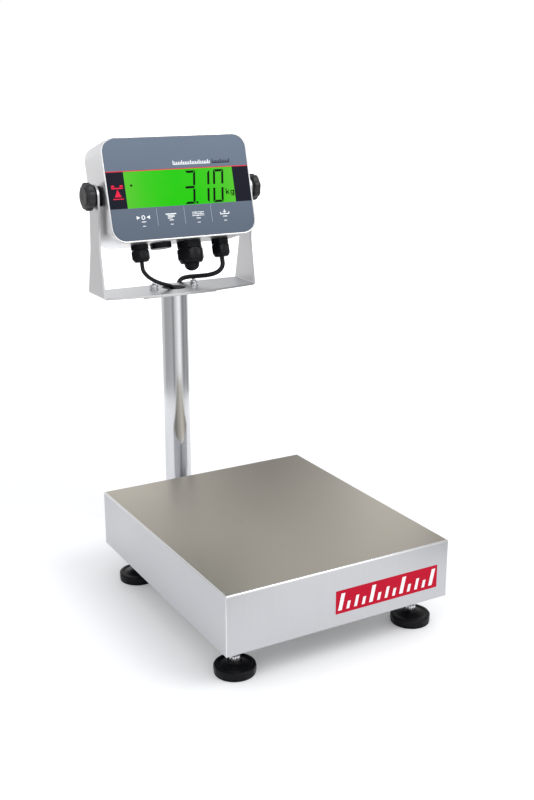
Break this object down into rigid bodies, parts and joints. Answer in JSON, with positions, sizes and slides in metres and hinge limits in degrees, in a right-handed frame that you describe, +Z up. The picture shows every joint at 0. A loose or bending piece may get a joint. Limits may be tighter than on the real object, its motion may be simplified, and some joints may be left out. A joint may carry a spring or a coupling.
{
  "type": "bench scale",
  "caption": "Bench scale with a deep stainless load pan on levelling feet and a column at the back that carries a tilting indicator in a U bracket.",
  "frame": {"origin": "on the floor under the middle of the object's box, the power cord's free end left out", "axes": "+X to the operator's right, +Y from the operator to the column, +Z up"},
  "size_m": [0.305, 0.5002, 0.5768],
  "materials": {
    "brushed_pan": "brushed stainless sheet",
    "brushed_bracket": "brushed stainless sheet",
    "polished_column": "polished stainless tube",
    "satin_case": "satin stainless sheet",
    "frame_steel": "mill-finish stainless section",
    "cell_aluminium": "machined, clear anodised",
    "bright_screws": "bright turned steel",
    "black_plastic": "satin moulded nylon",
    "black_rubber": "matt moulded rubber",
    "overlay_film": "printed satin film",
    "display_window": "clear window over a green backlight",
    "display_module": "liquid crystal glass on a light guide",
    "circuit_board": "green laminate",
    "level_vial": "clear, filled with tinted liquid",
    "cable_jacket": "satin extruded jacket"
  },
  "bodies": {
    "base": {"base_rail_left": "frame_steel", "base_rail_right": "frame_steel", "base_cross_front": "frame_steel", "base_cross_rear": "frame_steel", "load_cell_beam": "frame_steel", "load_cell_foot": "bright_screws", "load_cell": "cell_aluminium", "column_carrier": "frame_steel", "column_foot_flange": "brushed_bracket", "column_tube": "polished_column", "column_top_flange": "brushed_bracket", "u_bracket": "brushed_bracket", "bracket_bolt_left": "bright_screws", "bracket_bolt_right": "bright_screws", "level_cup": "black_plastic", "level_vial": "level_vial", "lock_nut_front_left": "bright_screws", "lock_nut_front_right": "bright_screws", "lock_nut_rear_left": "bright_screws", "lock_nut_rear_right": "bright_screws", "load_cell_cable": "cable_jacket", "power_cord": "cable_jacket", "power_cord_coil": "cable_jacket", "power_cord_tail": "cable_jacket", "power_plug": "black_plastic"},
    "load_platform": {"load_cell_head": "bright_screws", "load_spider": "frame_steel"},
    "pan": {"load_pan": "brushed_pan"},
    "indicator": {"indicator_case": "satin_case", "rear_cover": "satin_case", "cover_gasket": "black_rubber", "front_overlay": "overlay_film", "display_window": "display_window", "display_module": "display_module", "main_board": "circuit_board", "load_gland_body": "black_plastic", "load_gland_nut": "black_plastic", "power_gland_body": "black_plastic", "power_gland_nut": "black_plastic", "data_gland_body": "black_plastic", "data_gland_nut": "black_plastic", "data_gland_plug": "black_plastic", "vent_cap": "black_plastic", "pivot_spacer_left": "black_plastic", "pivot_spacer_right": "black_plastic"},
    "key_zero": {"key_zero": "overlay_film"},
    "key_print": {"key_print": "overlay_film"},
    "key_function": {"key_function": "overlay_film"},
    "key_tare": {"key_tare": "overlay_film"},
    "clamp_knob_left": {"clamp_knob_left": "black_plastic"},
    "clamp_knob_right": {"clamp_knob_right": "black_plastic"},
    "foot_pad_front_left": {"foot_pad_front_left": "black_rubber"},
    "foot_stud_front_left": {"foot_stud_front_left": "bright_screws"},
    "foot_pad_front_right": {"foot_pad_front_right": "black_rubber"},
    "foot_stud_front_right": {"foot_stud_front_right": "bright_screws"},
    "foot_pad_rear_left": {"foot_pad_rear_left": "black_rubber"},
    "foot_stud_rear_left": {"foot_stud_rear_left": "bright_screws"},
    "foot_pad_rear_right": {"foot_pad_rear_right": "black_rubber"},
    "foot_stud_rear_right": {"foot_stud_rear_right": "bright_screws"}
  },
  "joints": [
    {"name": "platform_deflection", "type": "slide", "parent": "base", "child": "load_platform", "axis": [0, 0, 1], "range_m": [-0.00025, 0], "stiffness_N_per_m": 400000, "springref_m": 0.0001},
    {"name": "pan_lift", "type": "slide", "parent": "load_platform", "child": "pan", "axis": [0, 0, 1], "range_m": [0, 0.08]},
    {"name": "indicator_tilt", "type": "hinge", "parent": "base", "child": "indicator", "pos_m": [0, 0.1891, 0.5003], "axis": [1, 0, 0], "range_deg": [-15, 30], "deforming": ["load_cell_cable", "power_cord"]},
    {"name": "clamp_knob_left_turn", "type": "hinge", "parent": "indicator", "child": "clamp_knob_left", "pos_m": [0, 0.1891, 0.5003], "axis": [-1, 0, 0], "range_deg": [0, 360]},
    {"name": "clamp_knob_right_turn", "type": "hinge", "parent": "indicator", "child": "clamp_knob_right", "pos_m": [0, 0.1891, 0.5003], "axis": [1, 0, 0], "range_deg": [0, 360]},
    {"name": "key_zero_press", "type": "slide", "parent": "indicator", "child": "key_zero", "axis": [0, 0.9636, -0.2672], "range_m": [0, 0.0005], "stiffness_N_per_m": 4000},
    {"name": "key_print_press", "type": "slide", "parent": "indicator", "child": "key_print", "axis": [0, 0.9636, -0.2672], "range_m": [0, 0.0005], "stiffness_N_per_m": 4000},
    {"name": "key_function_press", "type": "slide", "parent": "indicator", "child": "key_function", "axis": [0, 0.9636, -0.2672], "range_m": [0, 0.0005], "stiffness_N_per_m": 4000},
    {"name": "key_tare_press", "type": "slide", "parent": "indicator", "child": "key_tare", "axis": [0, 0.9636, -0.2672], "range_m": [0, 0.0005], "stiffness_N_per_m": 4000},
    {"name": "foot_pad_front_left_travel", "type": "slide", "parent": "base", "child": "foot_pad_front_left", "axis": [0, 0, 1], "range_m": [-0.01205, 0.00455]},
    {"name": "foot_stud_front_left_turn", "type": "hinge", "parent": "foot_pad_front_left", "child": "foot_stud_front_left", "pos_m": [-0.1245, -0.2167, 0.04], "axis": [0, 0, 1], "range_deg": [-2880, 1080]},
    {"name": "foot_pad_front_right_travel", "type": "slide", "parent": "base", "child": "foot_pad_front_right", "axis": [0, 0, 1], "range_m": [-0.01205, 0.00455]},
    {"name": "foot_stud_front_right_turn", "type": "hinge", "parent": "foot_pad_front_right", "child": "foot_stud_front_right", "pos_m": [0.1245, -0.2167, 0.04], "axis": [0, 0, 1], "range_deg": [-2880, 1080]},
    {"name": "foot_pad_rear_left_travel", "type": "slide", "parent": "base", "child": "foot_pad_rear_left", "axis": [0, 0, 1], "range_m": [-0.01205, 0.00455]},
    {"name": "foot_stud_rear_left_turn", "type": "hinge", "parent": "foot_pad_rear_left", "child": "foot_stud_rear_left", "pos_m": [-0.1245, 0.0623, 0.04], "axis": [0, 0, 1], "range_deg": [-2880, 1080]},
    {"name": "foot_pad_rear_right_travel", "type": "slide", "parent": "base", "child": "foot_pad_rear_right", "axis": [0, 0, 1], "range_m": [-0.01205, 0.00455]},
    {"name": "foot_stud_rear_right_turn", "type": "hinge", "parent": "foot_pad_rear_right", "child": "foot_stud_rear_right", "pos_m": [0.1245, 0.0623, 0.04], "axis": [0, 0, 1], "range_deg": [-2880, 1080]}
  ],
  "couplings": [
    {"joint": "foot_pad_front_left_travel", "follows": "foot_stud_front_left_turn", "m_per_rad": 0.00023873},
    {"joint": "foot_pad_front_right_travel", "follows": "foot_stud_front_right_turn", "m_per_rad": 0.00023873},
    {"joint": "foot_pad_rear_left_travel", "follows": "foot_stud_rear_left_turn", "m_per_rad": 0.00023873},
    {"joint": "foot_pad_rear_right_travel", "follows": "foot_stud_rear_right_turn", "m_per_rad": 0.00023873}
  ]
}
